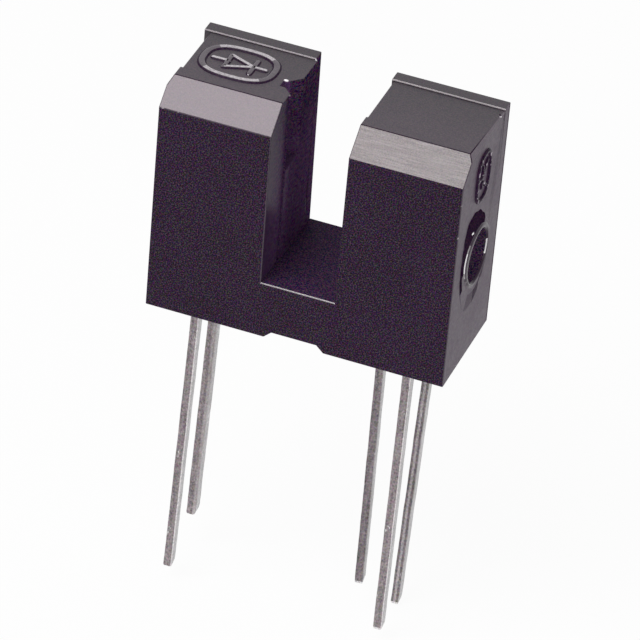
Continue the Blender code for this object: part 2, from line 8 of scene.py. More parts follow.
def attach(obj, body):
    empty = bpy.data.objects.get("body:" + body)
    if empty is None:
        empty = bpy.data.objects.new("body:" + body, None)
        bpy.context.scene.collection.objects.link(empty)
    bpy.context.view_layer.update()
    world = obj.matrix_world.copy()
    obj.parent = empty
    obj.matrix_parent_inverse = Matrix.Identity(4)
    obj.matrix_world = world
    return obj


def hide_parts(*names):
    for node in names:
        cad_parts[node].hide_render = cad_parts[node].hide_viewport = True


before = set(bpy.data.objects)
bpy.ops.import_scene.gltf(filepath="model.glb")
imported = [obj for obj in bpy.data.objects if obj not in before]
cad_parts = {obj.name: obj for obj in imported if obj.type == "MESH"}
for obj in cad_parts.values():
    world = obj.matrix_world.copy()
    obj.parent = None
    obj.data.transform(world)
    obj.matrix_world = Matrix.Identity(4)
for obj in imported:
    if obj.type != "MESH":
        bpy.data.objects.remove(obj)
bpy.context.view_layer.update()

# Shapes are made in millimetres in the row frame and scaled to metres when they are finished.
MM = 0.001

# Housing, the same sizes as the CAD
HALF_WIDTH = 6.1
FRONT_Y, BACK_Y = -2.5, 2.5
LIP_Y = 1.92
PARTING_Y = -0.87
ARM_TOP, LIP_TOP = 9.93, 10.0
SLOT_FLOOR = 2.43
FLOOR_HALF, TOP_HALF = 1.5, 1.55
LIP_FLOOR_HALF, LIP_TOP_HALF = 1.42, 1.53
PARTING_STEP = 0.07
CHAMFER_RUN, CHAMFER_DROP = 1.02, 0.93
RELIEF_HALF, RELIEF_RAMP, RELIEF_HEIGHT = 0.92, 0.30, 0.28
CAVITY_INNER, CAVITY_OUTER = 2.05, 5.5
CAVITY_Y = 2.02
CAVITY_TOP = 8.9
OPTICAL_Y = -0.17
# The light openings' heights. The emitter's is open at the top
APERTURE_BOTTOM, APERTURE_TOP, APERTURE_OPEN = 6.55, 8.55, 12.0
STAKE_Y, STAKE_Z = 0.10, 4.5
STAKE_PIT = 1.07
EDGE_ROUND = 0.035
# How far a cutter runs past the surface that it opens
FAR = 3.0
# The arms' directions along X: emitter, detector
EMITTER, DETECTOR = -1, 1


# Mesh helpers

def new_object(bm, name):
    """An object in the scene with the bmesh as its mesh."""
    mesh = bpy.data.meshes.new(name)
    bm.to_mesh(mesh)
    bm.free()
    made = bpy.data.objects.new(name, mesh)
    bpy.context.scene.collection.objects.link(made)
    return made


def temp_object(bm, name):
    """An object that only serves to build a piece."""
    bmesh.ops.recalc_face_normals(bm, faces=bm.faces)
    return new_object(bm, name)


def loft(rings, name):
    """A closed skin over rings of points with equal counts."""
    bm = bmesh.new()
    made = [[bm.verts.new(point) for point in ring] for ring in rings]
    count = len(made[0])
    for near, far in zip(made, made[1:]):
        for k in range(count):
            following = (k + 1) % count
            bm.faces.new([near[k], near[following], far[following], far[k]])
    bm.faces.new(made[0])
    bm.faces.new(made[-1])
    return temp_object(bm, name)


def baked(target, steps=()):
    """The target's mesh after the boolean steps, as a bmesh. All the objects used are removed."""
    for operation, tool in steps:
        change = target.modifiers.new(tool.name, "BOOLEAN")
        change.operation = operation
        change.solver = "EXACT"
        change.object = tool
    bpy.context.view_layer.update()
    graph = bpy.context.evaluated_depsgraph_get()
    bm = bmesh.new()
    bm.from_object(target, graph)
    for item in [target] + [tool for _, tool in steps]:
        mesh = item.data
        bpy.data.objects.remove(item)
        if mesh.users == 0:
            bpy.data.meshes.remove(mesh)
    bmesh.ops.remove_doubles(bm, verts=bm.verts, dist=1e-5)
    return bm


def piece(bm, name, materials, nodes=(), sharp=35.0, weighted=True):
    """Makes a bmesh in millimetres a piece of the root body that takes the place of the nodes."""
    bmesh.ops.scale(bm, vec=(MM, MM, MM), verts=bm.verts)
    bm.normal_update()
    made = new_object(bm, name)
    for item in materials:
        made.data.materials.append(item)
    made.data.shade_smooth()
    made.data.set_sharp_from_angle(angle=math.radians(sharp))
    if weighted:
        change = made.modifiers.new("weighted_normals", "WEIGHTED_NORMAL")
        change.keep_sharp = True
        change.weight = 100
    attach(made, "root")
    if nodes:
        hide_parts(*nodes)


# Procedural materials

class Nodes:
    """Short calls for building one material's node tree."""

    def __init__(self, name):
        self.material = bpy.data.materials.new(name)
        self.material.use_nodes = True
        self.tree = self.material.node_tree
        self.shader = self.tree.nodes["Principled BSDF"]
        coordinates = self.tree.nodes.new("ShaderNodeTexCoord")
        self.place = coordinates.outputs["Object"]

    def link(self, source, target):
        self.tree.links.new(source, target)

    def mapped(self, scale):
        """The place, with each axis scaled. A number below 1 draws a pattern out along that axis."""
        node = self.tree.nodes.new("ShaderNodeMapping")
        node.inputs["Scale"].default_value = scale
        self.link(self.place, node.inputs["Vector"])
        return node.outputs["Vector"]

    def noise_node(self, per_mm, detail, rough, stretch):
        node = self.tree.nodes.new("ShaderNodeTexNoise")
        node.inputs["Scale"].default_value = per_mm * 1000
        node.inputs["Detail"].default_value = detail
        node.inputs["Roughness"].default_value = rough
        self.link(self.mapped(stretch), node.inputs["Vector"])
        return node

    def noise(self, per_mm, detail, rough, stretch=(1, 1, 1)):
        return self.noise_node(per_mm, detail, rough, stretch).outputs["Fac"]

    def along(self, axis):
        """The place along one axis, in metres."""
        node = self.tree.nodes.new("ShaderNodeSeparateXYZ")
        self.link(self.place, node.inputs[0])
        return node.outputs[axis]

    def ramp(self, source, stops):
        """Colours for the source's values. stops are (value, colour), from low to high."""
        node = self.tree.nodes.new("ShaderNodeValToRGB")
        band = node.color_ramp
        while len(band.elements) < len(stops):
            band.elements.new(0.5)
        for element, (place, colour) in zip(band.elements, stops):
            element.position = place
            element.color = (*colour, 1.0)
        self.link(source, node.inputs["Fac"])
        return node.outputs["Color"]

    def spread(self, source, low, high, start=0.3, end=0.7):
        """Low where the source is at start, high where it is at end, and a straight change between."""
        node = self.tree.nodes.new("ShaderNodeMapRange")
        node.inputs["From Min"].default_value = start
        node.inputs["From Max"].default_value = end
        node.inputs["To Min"].default_value = low
        node.inputs["To Max"].default_value = high
        self.link(source, node.inputs["Value"])
        return node.outputs["Result"]

    def mix(self, one, two, factor, kind="MIX"):
        node = self.tree.nodes.new("ShaderNodeMix")
        node.data_type = "RGBA"
        node.blend_type = kind
        for name, value in (("Factor", factor), ("A", one), ("B", two)):
            wanted = "VALUE" if name == "Factor" else "RGBA"
            socket = next(s for s in node.inputs if s.name == name and s.type == wanted)
            if hasattr(value, "links"):
                self.link(value, socket)
            elif name == "Factor":
                socket.default_value = value
            else:
                socket.default_value = (*value, 1.0)
        return next(s for s in node.outputs if s.type == "RGBA")

    def maths(self, operation, one, two=0.0):
        node = self.tree.nodes.new("ShaderNodeMath")
        node.operation = operation
        for socket, value in zip(node.inputs, (one, two)):
            if hasattr(value, "links"):
                self.link(value, socket)
            else:
                socket.default_value = value
        return node.outputs[0]

    def bump(self, height, depth_mm, normal=None):
        node = self.tree.nodes.new("ShaderNodeBump")
        node.inputs["Distance"].default_value = depth_mm * MM
        self.link(height, node.inputs["Height"])
        if normal is not None:
            self.link(normal, node.inputs["Normal"])
        return node.outputs["Normal"]

    def use(self, **sockets):
        """Sets or links the shader's sockets by name, with _ for a space."""
        for name, value in sockets.items():
            socket = self.shader.inputs[name.replace("_", " ")]
            if hasattr(value, "links"):
                self.link(value, socket)
            else:
                socket.default_value = value
        return self.material


def speckle(n, colour, per_mm, amount, grey=0.54, stretch=(1, 1, 1)):
    """Fine speckle, partly coloured, like the sparkle of a spark-eroded mould surface."""
    node = n.noise_node(per_mm, 1.0, 0.6, stretch)
    spots = n.mix(node.outputs["Color"], node.outputs["Fac"], grey)
    return n.mix(colour, spots, amount, "LINEAR_LIGHT")


# How fine the plastic's grain and speckle are, in noise cells for each millimetre
GRAIN_PER_MM, SPECKLE_PER_MM = 9.0, 18.0


def plastic(name, dark, light, grain_mm, rough, level, cloud_per_mm=0.35, streaks=None, dots=0.0, grey=0.54,
            drawn=1.0, mottle=0.0, fade=None, glint_spots=None, dim=None, rim=False):
    """Moulded black plastic, and painted light and shade on it: clouded colour, fine grain in colour, gloss
    and relief.

    streaks: cutter marks. dim: darker towards one end. mottle: uneven mirror level. dots, grey and drawn:
    strength of the speckle, its grey share and its stretch along Y. The pale spots: painted glints. fade:
    another colour and mirror level at one end, as painted light and shade. rim: nothing is mirrored next to
    the back edge.
    """
    n = Nodes(name)
    cloud = n.noise(cloud_per_mm, 4.0, 0.6)
    grain = n.noise(GRAIN_PER_MM, 2.0, 0.7)
    blend = n.maths("ADD", n.maths("MULTIPLY", cloud, 0.45), n.maths("MULTIPLY", grain, 0.55))
    colour = n.ramp(blend, [(0.36, dark), (0.64, light)])
    gloss = n.spread(blend, rough[0], rough[1])
    fine = n.noise(GRAIN_PER_MM * 1.7, 3.0, 0.6)
    normal = n.bump(fine, grain_mm)
    if streaks:
        line = n.noise(streaks["per_mm"], 3.0, 0.7, streaks["stretch"])
        colour = n.mix(colour, streaks["colour"], n.spread(line, 0.0, streaks["amount"], 0.42, 0.7))
        normal = n.bump(line, streaks["depth_mm"], normal)
    if dim:
        far = n.spread(n.along(dim["axis"]), 0.0, dim["amount"], dim["start"], dim["end"])
        colour = n.mix(colour, (0.0, 0.0, 0.0), far)
    if mottle:
        level = n.maths("MULTIPLY", n.spread(n.noise(3.0, 4.0, 0.8), 1.0 - mottle, 1.0 + mottle), level)
    if dots:
        colour = speckle(n, colour, SPECKLE_PER_MM, dots, grey, (1, drawn, 1))
    if glint_spots:
        spots = n.spread(n.noise(glint_spots["per_mm"], 2.0, 0.6), 0.0, 1.0, glint_spots["start"], glint_spots["start"] + 0.08)
        colour = n.mix(colour, glint_spots["colour"], spots)
    if fade:
        near = n.spread(n.along(fade["axis"]), 1.0, 0.0, fade["start"], fade["end"])
        colour = n.mix(colour, fade["colour"], n.maths("MULTIPLY", near, fade["tint"]))
        level = n.maths("MULTIPLY", n.maths("POWER", near, 1.7), fade["level"])
    if rim:
        kept = n.spread(n.along("Y"), 1.0, 0.0, 2.33 * MM, 2.38 * MM)
        level = n.maths("MULTIPLY", kept, level)
    return n.use(Base_Color=colour, Roughness=gloss, Specular_IOR_Level=level, Normal=normal)


def tin(name, dark, light, rough, streak_per_mm, scratch_glints=0.0, scratch_glint_from=0.66, dots=0.165):
    """Dull tin plating: streaks that run down the lead, blotches, grain, and small bright scratch marks
    painted as glints.
    """
    n = Nodes(name)
    streak = n.noise(streak_per_mm, 4.0, 0.65, (1, 1, 0.06))
    blotch = n.noise(1.3, 4.0, 0.7, (1, 1, 0.5))
    pits = n.noise(14.0, 2.0, 0.7, (1, 1, 0.7))
    blend = n.maths("ADD", n.maths("MULTIPLY", streak, 0.30), n.maths("MULTIPLY", blotch, 0.18))
    blend = n.maths("ADD", blend, n.maths("MULTIPLY", pits, 0.52))
    middle = tuple((a + b) / 2 for a, b in zip(dark, light))
    colour = n.ramp(blend, [(0.36, dark), (0.50, middle), (0.64, light)])
    colour = speckle(n, colour, 12.0, dots)
    if scratch_glints:
        marks = n.noise(4.0, 3.0, 0.8, (1, 1, 0.30))
        shine = n.spread(marks, 0.0, scratch_glints, scratch_glint_from, scratch_glint_from + 0.05)
        colour = n.mix(colour, (0.95, 0.93, 0.93), shine)
    gloss = n.spread(blend, rough[1], rough[0])
    normal = n.bump(pits, 0.006, n.bump(streak, 0.010))
    return n.use(Base_Color=colour, Metallic=1.0, Roughness=gloss, Normal=normal)


# Options of the finishes: cutter marks, a change from one end to the other, and darkening, most of it
# painted shade
BRUSHED = {"per_mm": 16.0, "stretch": (0.045, 1, 1), "colour": (0.25, 0.215, 0.222), "amount": 0.75,
           "depth_mm": 0.004}
# Painted shade: the slot walls darker towards the front
SLOT_FADE = {"axis": "Y", "start": -2.5 * MM, "end": -0.2 * MM, "level": 0.024,
             "colour": (0.030, 0.014, 0.037), "tint": 0.85}
# Painted shade at the front of the right arm's bevel edge, turning lighter and shinier towards the back
FACET_FADE = {"axis": "Y", "start": 0.4 * MM, "end": -1.2 * MM, "level": 0.42,
              "colour": (0.050, 0.036, 0.050), "tint": 1.0}
# Painted shade: the brushed chamfer darker towards the arm's outer side
PAINTED_SHADE_OUTWARD = {"axis": "X", "start": 1.6 * MM, "end": 6.1 * MM, "amount": 0.13}
BACKWARD = {"axis": "Y", "start": -0.6 * MM, "end": 1.9 * MM, "amount": 0.35}
# Painted shade: the slot walls darker towards the top
PAINTED_SHADE_UPWARD = {"axis": "Z", "start": 7.0 * MM, "end": 9.4 * MM, "amount": 0.52}
# Finishes of the one black plastic. Many are painted light and shade: lighter or darker copies, glints and
# edge highlights
# name: dark and light colour, grain depth in millimetres, roughness, mirror level, options
FINISHES_AND_PAINTED_LIGHT = {
    "matte": plastic(
        "housing_matte", (0.0155, 0.0040, 0.0195), (0.0275, 0.0100, 0.0335), 0.006, (0.52, 0.66), 0.13,
        dots=0.145, grey=0.50),
    "top": plastic(
        "housing_top", (0.033, 0.022, 0.033), (0.053, 0.039, 0.052), 0.004, (0.36, 0.48), 0.5,
        dots=0.045, dim=BACKWARD),
    "side": plastic(
        "housing_side", (0.029, 0.007, 0.031), (0.046, 0.018, 0.049), 0.003, (0.30, 0.42), 0.165,
        dots=0.050, drawn=0.3, mottle=0.45, rim=True),
    "band": plastic(
        "housing_side_band", (0.027, 0.009, 0.030), (0.042, 0.019, 0.046), 0.003, (0.34, 0.46), 0.142,
        dots=0.050, drawn=0.3, mottle=0.45),
    # Lighter than the side for the right arm's bevel facet: painted highlight
    "facet": plastic(
        "housing_facet", (0.095, 0.074, 0.095), (0.126, 0.102, 0.124), 0.003, (0.34, 0.46), 0.5,
        dots=0.05, mottle=0.30),
    # Slot walls painted far lighter than the black plastic where light falls on them: painted light
    "slot": plastic(
        "housing_slot_wall_painted_light", (0.090, 0.043, 0.108), (0.130, 0.066, 0.155), 0.003, (0.26, 0.36), 0.3,
        dots=0.165, grey=0.3, drawn=0.3, fade=SLOT_FADE, dim=PAINTED_SHADE_UPWARD),
    # A dimmer, dull copy of the slot walls' painted light on the parting step
    "slot_step": plastic(
        "housing_slot_step_painted_light", (0.044, 0.020, 0.053), (0.066, 0.032, 0.079), 0.003, (0.50, 0.60), 0.0,
        dots=0.10, grey=0.4),
    "slot_floor": plastic(
        "housing_slot_floor", (0.028, 0.012, 0.036), (0.046, 0.021, 0.057), 0.005, (0.50, 0.60), 0.03,
        dots=0.125, grey=0.35),
    # Painted lighter against the shade inside the cavities and openings: painted light
    "inner": plastic(
        "housing_inner_painted_light", (0.070, 0.034, 0.086), (0.110, 0.055, 0.130), 0.003, (0.50, 0.60), 0.06,
        dots=0.08, grey=0.4),
    # Painted shade on the raised plastic around the pit: a dark crescent, a dim arc and its fainter end
    "stake_dark": plastic(
        "housing_stake_painted_shade", (0.018, 0.008, 0.021), (0.030, 0.014, 0.034), 0.002, (0.30, 0.40), 0.0,
        dots=0.050, grey=0.3),
    "stake_dim": plastic(
        "housing_stake_painted_dim_shade", (0.024, 0.010, 0.027), (0.038, 0.018, 0.042), 0.002, (0.30, 0.40), 0.009,
        dots=0.050, grey=0.3),
    "stake_faint": plastic(
        "housing_stake_painted_faint_shade", (0.028, 0.010, 0.031), (0.042, 0.018, 0.046), 0.002, (0.30, 0.40), 0.050,
        dots=0.05),
    "stake": plastic(
        "housing_stake_rim", (0.030, 0.015, 0.031), (0.046, 0.026, 0.047), 0.002, (0.18, 0.28), 0.10,
        dots=0.015),
    # Painted lighter against the shade in the punched pit: painted light
    "pit": plastic(
        "housing_pit_painted_light", (0.060, 0.033, 0.070), (0.099, 0.056, 0.112), 0.003, (0.50, 0.60), 0.0,
        dots=0.200, grey=0.45),
    # Painted glints: near-white spots and lines
    "glint": plastic(
        "housing_painted_glint", (0.82, 0.79, 0.81), (0.92, 0.89, 0.91), 0.001, (0.12, 0.20), 1.0),
    # Painted highlight on rounded edges: the slot floor's front edge and the crater rim's outer front
    "edge": plastic(
        "housing_edge_painted_highlight", (0.22, 0.20, 0.21), (0.31, 0.28, 0.29), 0.002, (0.20, 0.30), 0.9),
    # Painted shade: dark lines behind the chamfers and on the right arm's bevel
    "edge_dark": plastic(
        "housing_edge_painted_shade", (0.018, 0.009, 0.020), (0.032, 0.018, 0.034), 0.002, (0.30, 0.40), 0.02),
    # Painted shade on the bevel's upper edge at the front, turning to a lighter painted sheen towards the
    # back
    "edge_facet": plastic(
        "housing_facet_edge_painted_shade", (0.018, 0.009, 0.020), (0.032, 0.018, 0.034), 0.002, (0.30, 0.40), 0.0,
        fade=FACET_FADE),
    # Painted highlight on the lip's top edge
    "edge_lip": plastic(
        "housing_lip_edge_painted_highlight", (0.30, 0.27, 0.285), (0.48, 0.44, 0.46), 0.002, (0.22, 0.32), 0.8),
    # Painted soft highlight on the upright front edge of the slot's left wall
    "edge_soft": plastic(
        "housing_soft_edge_painted_highlight", (0.040, 0.028, 0.042), (0.065, 0.048, 0.066), 0.002, (0.24, 0.34), 0.3),
    # Painted highlight, broken into pale spots, on the right side's front edge and under the left chamfer
    "edge_glint_spots": plastic(
        "housing_glint_spots_edge", (0.045, 0.030, 0.047), (0.060, 0.044, 0.062), 0.003, (0.30, 0.42), 0.4,
        glint_spots={"per_mm": 3.6, "start": 0.62, "colour": (0.42, 0.39, 0.41)}),
    # The chamfers are painted lighter than the rest of the plastic, standing in for the lamp's reflection:
    # painted highlight. The right one's streaks are cutter marks
    "chamfer_left": plastic(
        "housing_chamfer_smooth", (0.128, 0.096, 0.116), (0.166, 0.128, 0.152), 0.003, (0.36, 0.46), 0.6,
        cloud_per_mm=0.8, dots=0.06),
    "chamfer_right": plastic(
        "housing_chamfer_brushed", (0.104, 0.079, 0.085), (0.136, 0.107, 0.113), 0.003, (0.34, 0.46), 0.6,
        streaks=BRUSHED, dots=0.12, grey=0.7, dim=PAINTED_SHADE_OUTWARD),
}
FINISH_AND_PAINTED_LIGHT_ORDER = list(FINISHES_AND_PAINTED_LIGHT)
# Painted highlight on the emitter sign's crests, bright where they run along X and weaker on shoulders and
# bends
mark_top = plastic(
    "mark_ridge", (0.22, 0.195, 0.215), (0.55, 0.51, 0.54), 0.002, (0.14, 0.22), 0.9, cloud_per_mm=1.6)
mark_bend = plastic(
    "mark_ridge_bend", (0.044, 0.031, 0.044), (0.085, 0.066, 0.084), 0.002, (0.16, 0.24), 0.7,
    cloud_per_mm=1.6)
mark_flank = plastic(
    "mark_flank", (0.014, 0.006, 0.017), (0.026, 0.012, 0.030), 0.002, (0.30, 0.40), 0.05, dots=0.030)
# The detector sign's crest: dark plastic with pale spots of painted glint
side_mark_top = plastic(
    "side_mark_ridge", (0.016, 0.006, 0.019), (0.036, 0.018, 0.042), 0.002, (0.10, 0.18), 0.01,
    dots=0.05, glint_spots={"per_mm": 4.2, "start": 0.555, "colour": (0.55, 0.47, 0.55)})
side_mark_flank = plastic(
    "side_mark_flank", (0.022, 0.008, 0.026), (0.040, 0.018, 0.046), 0.002, (0.20, 0.30), 0.03, dots=0.05)

# name: dark and light colour, roughness, streaks for each millimetre
sheared_tin = tin(
    "tin_sheared", (0.15, 0.126, 0.134), (0.42, 0.370, 0.386), (0.34, 0.50), 9.0,
    scratch_glints=0.8, scratch_glint_from=0.65)
sheared_dark = tin(
    "tin_sheared_dark", (0.115, 0.098, 0.105), (0.33, 0.29, 0.308), (0.34, 0.50), 9.0, scratch_glints=0.4)
# A lighter copy for one lead's middle line: painted highlight
sheared_light = tin(
    "tin_sheared_light", (0.27, 0.245, 0.253), (0.60, 0.555, 0.57), (0.30, 0.46), 9.0,
    scratch_glints=0.8, scratch_glint_from=0.62, dots=0.24)
rolled_tin = tin(
    "tin_rolled", (0.27, 0.258, 0.262), (0.58, 0.562, 0.57), (0.26, 0.42), 7.0, scratch_glints=0.6)
# Painted highlight along the rounded corner between a lead's front and its +X side; the dull copy is a
# weaker one
corner_tin = tin(
    "tin_corner", (0.44, 0.415, 0.425), (0.92, 0.88, 0.89), (0.22, 0.36), 9.0, scratch_glints=1.0)
corner_dull = tin(
    "tin_corner_dull", (0.25, 0.22, 0.225), (0.52, 0.48, 0.49), (0.30, 0.44), 9.0, scratch_glints=1.0)
# The bare metal at the cut end and a thin rim above it, painted bright as the tip's glint: painted
# highlight
cut_tin = tin("tin_cut", (0.42, 0.39, 0.40), (0.98, 0.96, 0.96), (0.18, 0.30), 12.0)


# Housing

def u_ring(y, top, left_floor, right_floor, left_top, right_top):
    """The housing's outline seen from the front, at one depth."""
    foot = RELIEF_HALF + RELIEF_RAMP
    outline = [
        (-HALF_WIDTH, 0), (-HALF_WIDTH, top), (left_top, top), (left_floor, SLOT_FLOOR),
        (right_floor, SLOT_FLOOR), (right_top, top), (HALF_WIDTH, top), (HALF_WIDTH, 0),
        (foot, 0), (RELIEF_HALF, RELIEF_HEIGHT), (-RELIEF_HALF, RELIEF_HEIGHT), (-foot, 0),
    ]
    return [(x, y, z) for x, z in outline]


def shell():
    """The outer form: front slice, rear slice with its slot walls shifted, and the back lip."""
    def part(start, end, top, floor_half, top_half, shift=0.0):
        slot = (shift - floor_half, shift + floor_half, shift - top_half, shift + top_half)
        return loft([u_ring(start, top, *slot), u_ring(end, top, *slot)], "shell")

    front = part(FRONT_Y, PARTING_Y, ARM_TOP, FLOOR_HALF, TOP_HALF)
    rear = part(PARTING_Y, LIP_Y, ARM_TOP, FLOOR_HALF, TOP_HALF, PARTING_STEP)
    lip = part(LIP_Y, BACK_Y, LIP_TOP, LIP_FLOOR_HALF, LIP_TOP_HALF)
    return front, [("UNION", rear), ("UNION", lip)]


def chamfer_cutter():
    """Cuts the sloping face at the front of both arms' tops."""
    slope = CHAMFER_DROP / CHAMFER_RUN
    low = (FRONT_Y - FAR, ARM_TOP - CHAMFER_DROP - slope * FAR)
    high = (FRONT_Y + CHAMFER_RUN + FAR, ARM_TOP + slope * FAR)
    outline = [low, (low[0], high[1]), high]
    return loft([[(x, y, z) for y, z in outline] for x in (-HALF_WIDTH - FAR, HALF_WIDTH + FAR)], "chamfer")


def bevel_cutter(side, start, end):
    """Cuts the outer top edge. start and end are (y, across, down)."""
    rings = []
    for y, across, down in (start, end):
        along = Vector((side * across, 0, -down)).normalized() * 0.8
        upper = Vector((side * (HALF_WIDTH - across), y, ARM_TOP)) - along
        lower = Vector((side * HALF_WIDTH, y, ARM_TOP - down)) + along
        rings.append([upper, lower, Vector((lower.x, y, upper.z))])
    return loft(rings, "bevel")


def band_cutter(side):
    """A shallow wedge in the outer side in front of the lip, deepest at the lip and at the top."""
    outline = [(0.58, 10.5), (1.10, 6.4), (1.42, 4.2), (LIP_Y, 4.2), (LIP_Y, 10.5)]
    depths = [0.012, 0.009, -0.010, -0.010, 0.014]
    outer = [(side * (HALF_WIDTH + 0.3), y, z) for y, z in outline]
    inner = [(side * (HALF_WIDTH - d), y, z) for (y, z), d in zip(outline, depths)]
    bm = bmesh.new()
    a = [bm.verts.new(p) for p in inner]
    b = [bm.verts.new(p) for p in outer]
    for k in range(5):
        following = (k + 1) % 5
        bm.faces.new([a[k], a[following], b[following], b[k]])
    bm.faces.new(b)
    bm.faces.new([a[0], a[1], a[4]])
    bm.faces.new([a[1], a[2], a[4]])
    bm.faces.new([a[2], a[3], a[4]])
    return temp_object(bm, "band")


def edge_width(edge):
    """The rounding of one outward edge in millimetres, wider where the edge shines."""
    a, b = (v.co for v in edge.verts)
    middle = (a + b) / 2
    in_front = abs(middle.y - FRONT_Y) < 0.01
    if in_front and abs(middle.z - SLOT_FLOOR) < 0.01:
        return 0.042
    if abs(middle.y - LIP_Y) < 0.01 and abs(a.z - LIP_TOP) < 0.01 and abs(b.z - LIP_TOP) < 0.01:
        return 0.039
    if in_front and abs(middle.x + FLOOR_HALF) < 0.08:
        return 0.045
    return EDGE_ROUND


def rounded_shell():
    """The outer form with its chamfers, bevels and rounded edges."""
    front, steps = shell()
    steps += [("DIFFERENCE", cutter) for cutter in (
        chamfer_cutter(),
        bevel_cutter(EMITTER, (FRONT_Y - FAR, 0.16, 0.33), (PARTING_Y, 0.16, 0.33)),
        bevel_cutter(EMITTER, (PARTING_Y, 0.27, 0.50), (LIP_Y, 0.27, 0.50)),
        bevel_cutter(DETECTOR, (FRONT_Y, 0.21, 0.25), (LIP_Y, 0.055, 0.066)),
    )]
    bm = baked(front, steps)
    bmesh.ops.dissolve_limit(bm, angle_limit=math.radians(0.25), verts=bm.verts, edges=bm.edges)
    bm.normal_update()
    layer = bm.edges.layers.float.new("bevel_weight_edge")
    widest = 0.07
    for edge in bm.edges:
        if edge.is_manifold and edge.is_convex and edge.calc_face_angle() > math.radians(20):
            edge[layer] = edge_width(edge) / widest
    whole = temp_object(bm, "sharp_shell")
    change = whole.modifiers.new("rounding", "BEVEL")
    change.limit_method = "WEIGHT"
    change.width = widest
    change.segments = 3
    change.miter_outer = "MITER_SHARP"
    change.use_clamp_overlap = False
    rounded = baked(whole)
    return temp_object(rounded, "rounded_shell")


# How far the raised rim and the raised plastic around it reach from the pit's axis.
# Pairs of (angle in degrees, reach). Angle 0 points to the front and 90 up.
RIM_REACH = [
    (0, 1.55), (20, 1.66), (36, 1.66), (48, 1.58), (70, 1.44), (90, 1.38), (120, 1.30), (180, 1.24),
    (222, 1.26), (300, 1.27), (330, 1.28), (345, 1.40), (360, 1.55),
]
FOOT_REACH = [
    (0, 1.78), (20, 1.90), (35, 2.12), (46, 2.42), (57, 2.66), (70, 2.52), (84, 2.20), (101, 1.80),
    (114, 1.54), (135, 1.42), (180, 1.34), (200, 1.37), (222, 1.50), (244, 1.72), (260, 2.02),
    (274, 2.20), (290, 2.24), (304, 2.14), (325, 1.90), (343, 1.80), (360, 1.78),
]
# The skirt's section from its foot to the rim as (share of the way out, rise above the side)
SKIRT = [
    (1.0, -0.3), (1.0, 0.0), (0.975, 0.016), (0.93, 0.028), (0.85, 0.034), (0.62, 0.036), (0.42, 0.037),
    (0.36, 0.037), (0.30, 0.037), (0.24, 0.0375), (0.18, 0.0375), (0.12, 0.038),
]
# The rim's section from the skirt over its crest into the pit, likewise
RIM = [
    (1.0, 0.040), (0.93, 0.052), (0.86, 0.068), (0.76, 0.086), (0.64, 0.097), (0.50, 0.100), (0.36, 0.096),
    (0.21, 0.080), (0.10, 0.048), (0.0, 0.0), (-0.15, -0.05), (-0.35, -0.1), (-1.3, -0.1),
]
# The reach at which the rim's section meets the outer side's plane inside the pit
HOLE = 1.08


def reach_at(table, degrees):
    """A smooth reading between a table's angles."""
    for (a0, r0), (a1, r1) in zip(table, table[1:]):
        if a0 <= degrees <= a1:
            share = (degrees - a0) / (a1 - a0)
            share = share * share * (3 - 2 * share)
            return r0 + (r1 - r0) * share
    return table[0][1]


def stake_rim(side):
    """The plastic that the hot punch raised: a round rim and a low skirt that spread unevenly."""
    count = 120
    rings = [[] for _ in range(len(SKIRT) + len(RIM))]
    for k in range(count):
        turn = 2 * math.pi * k / count
        degrees = 360.0 * k / count
        rim_reach, foot_reach = reach_at(RIM_REACH, degrees), reach_at(FOOT_REACH, degrees)
        wave = 0.012 * math.sin(3 * turn + 0.7)
        crest = 0.55 + 0.45 * math.cos((turn - math.radians(20)) / 2) ** 2
        thin = 1.0
        if 268 < degrees < 348:
            thin = 1.0 - 0.7 * max(0.0, math.cos(math.radians(degrees - 308) * 2.2))
        column = [(rim_reach + (foot_reach - rim_reach) * share, rise * thin) for share, rise in SKIRT]
        for share, rise in RIM:
            spread = (rim_reach - HOLE if share > 0 else 0.5) * share
            shift = wave * share if 0 < share < 0.95 else 0.0
            height = 0.040 * share + (rise - 0.040 * share) * crest if share > 0 else rise
            column.append((HOLE + spread + shift, height))
        for ring, (reach, height) in zip(rings, column):
            y, z = STAKE_Y - reach * math.cos(turn), STAKE_Z + reach * math.sin(turn)
            ring.append((side * (HALF_WIDTH + height), y, z))
    return loft(rings, "rim")


def turned(side, profile, count=64):
    """A profile of (radius, depth below the outer side) pairs turned about the stake's axis."""
    turns = [2 * math.pi * k / count for k in range(count)]
    rings = []
    for radius, depth in profile:
        flat = [(STAKE_Y + radius * math.cos(turn), STAKE_Z + radius * math.sin(turn)) for turn in turns]
        rings.append([(side * (HALF_WIDTH - depth), y, z) for y, z in flat])
    return loft(rings, "turned")


def quarter(radius, depth, across, down):
    """A quarter of an ellipse as a profile, from the wall at the radius inwards and down to the floor."""
    angles = (0, 0.4, 0.8, 1.2, math.pi / 2)
    return [(radius - across * (1 - math.cos(a)), depth + down * math.sin(a)) for a in angles]


def stake_bump(side):
    """The wall that the punch pushed into the cavity, which holds the package up."""
    return turned(side, [(1.35, 0.3)] + quarter(1.35, 0.6, 0.28, 0.5) + [(0.4, 1.1)])


def stake_pit(side):
    """The punched pit with its rounded floor."""
    return turned(side, [(STAKE_PIT, -1.0)] + quarter(STAKE_PIT, 0.47, 0.28, 0.28) + [(0.3, 0.76)], 96)


def dent(x, y, radius, depth, longer=1.0):
    """A tiny cone that leaves a dent in an arm's top. longer stretches it along X."""
    rings = []
    for size, height in ((1.4, 0.02), (1.0, 0.0), (0.45, -depth)):
        ring = []
        for k in range(12):
            turn = math.pi * k / 6
            across, back = radius * size * longer * math.cos(turn), radius * size * math.sin(turn)
            ring.append((x + across, y + back, ARM_TOP + height))
        rings.append(ring)
    return loft(rings, "dent")


